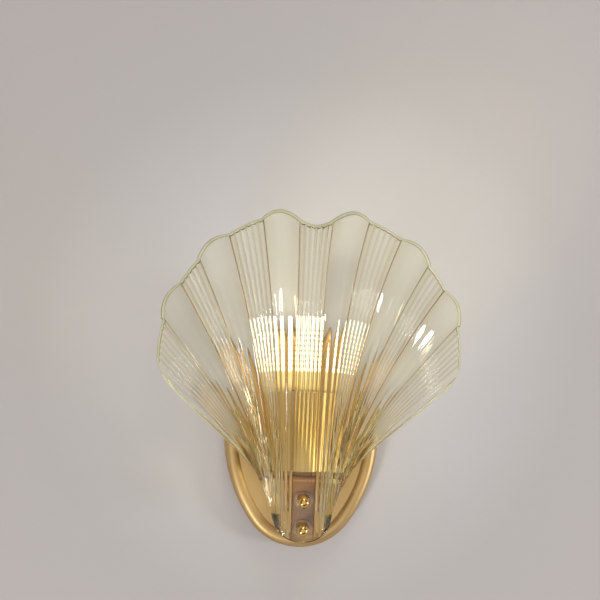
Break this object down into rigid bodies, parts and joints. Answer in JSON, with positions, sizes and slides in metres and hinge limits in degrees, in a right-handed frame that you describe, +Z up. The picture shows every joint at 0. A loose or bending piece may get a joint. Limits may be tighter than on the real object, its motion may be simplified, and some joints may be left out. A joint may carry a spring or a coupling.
{
  "type": "shell wall sconce",
  "caption": "Wall light with an oval brass back plate and a scallop shell shade of pressed amber glass, held by two ball nuts in front of an upright lamp.",
  "frame": {"origin": "middle of the oval back plate's rear face, on the wall", "axes": "+Y into the wall (the light faces -Y), +Z up, +X to the right as seen from the front; X = 0 is the plane of symmetry"},
  "size_m": [0.2426, 0.145, 0.2728],
  "materials": {
    "satin_brass": "satin brushed and lacquered",
    "polished_brass": "polished",
    "brass_fixings": "machined",
    "zinc_steel": "zinc plated",
    "nickel": "nickel plated",
    "amber_glass": "pressed, champagne tint",
    "clear_plastic": "clear, moulded",
    "white_plastic": "moulded",
    "white_enamel": "white coated board",
    "lit_phosphor": "phosphor over LED, lit",
    "black_plastic": "moulded",
    "black_rubber": "moulded",
    "brown_rubber": "die-cut sheet",
    "porcelain": "glazed"
  },
  "bodies": {
    "fixture": {"back_plate": "satin_brass", "mounting_bar": "zinc_steel", "side_screws": "brass_fixings", "earth_screw": "brass_fixings", "terminal_block": "white_plastic", "terminal_screws": "zinc_steel", "terminal_block_nut": "zinc_steel", "cable_grommet": "black_rubber", "arm": "satin_brass", "arm_screws": "brass_fixings", "arm_nuts": "zinc_steel", "shade_studs": "brass_fixings", "rear_pad": "brown_rubber", "glass_shade": "amber_glass", "upper_washer": "clear_plastic", "lower_washer": "clear_plastic", "holder_nipple": "brass_fixings", "nipple_nut": "brass_fixings", "holder_cup": "satin_brass", "cup_nut": "brass_fixings", "holder_insulator": "porcelain", "wire_clamps": "brass_fixings", "screw_shell": "brass_fixings", "centre_contact": "brass_fixings"},
    "upper_nut": {"upper_ball_nut": "polished_brass"},
    "lower_nut": {"lower_ball_nut": "polished_brass"},
    "lamp": {"lamp_tip": "zinc_steel", "lamp_tip_collar": "black_plastic", "lamp_cap": "nickel", "lamp_base": "white_plastic", "led_column": "white_enamel", "led_chips": "lit_phosphor", "lamp_top": "white_plastic"}
  },
  "joints": [
    {"name": "upper_nut_turn", "type": "hinge", "parent": "fixture", "child": "upper_nut", "pos_m": [0, -0.06763, -0.0488], "axis": [0, -0.9874, -0.158], "continuous": true},
    {"name": "lower_nut_turn", "type": "hinge", "parent": "fixture", "child": "lower_nut", "pos_m": [0, -0.06394, -0.0719], "axis": [0, -0.9874, -0.158], "continuous": true},
    {"name": "lamp_out", "type": "slide", "parent": "fixture", "child": "lamp", "axis": [0, 0, 1], "range_m": [0, 0.036]}
  ]
}
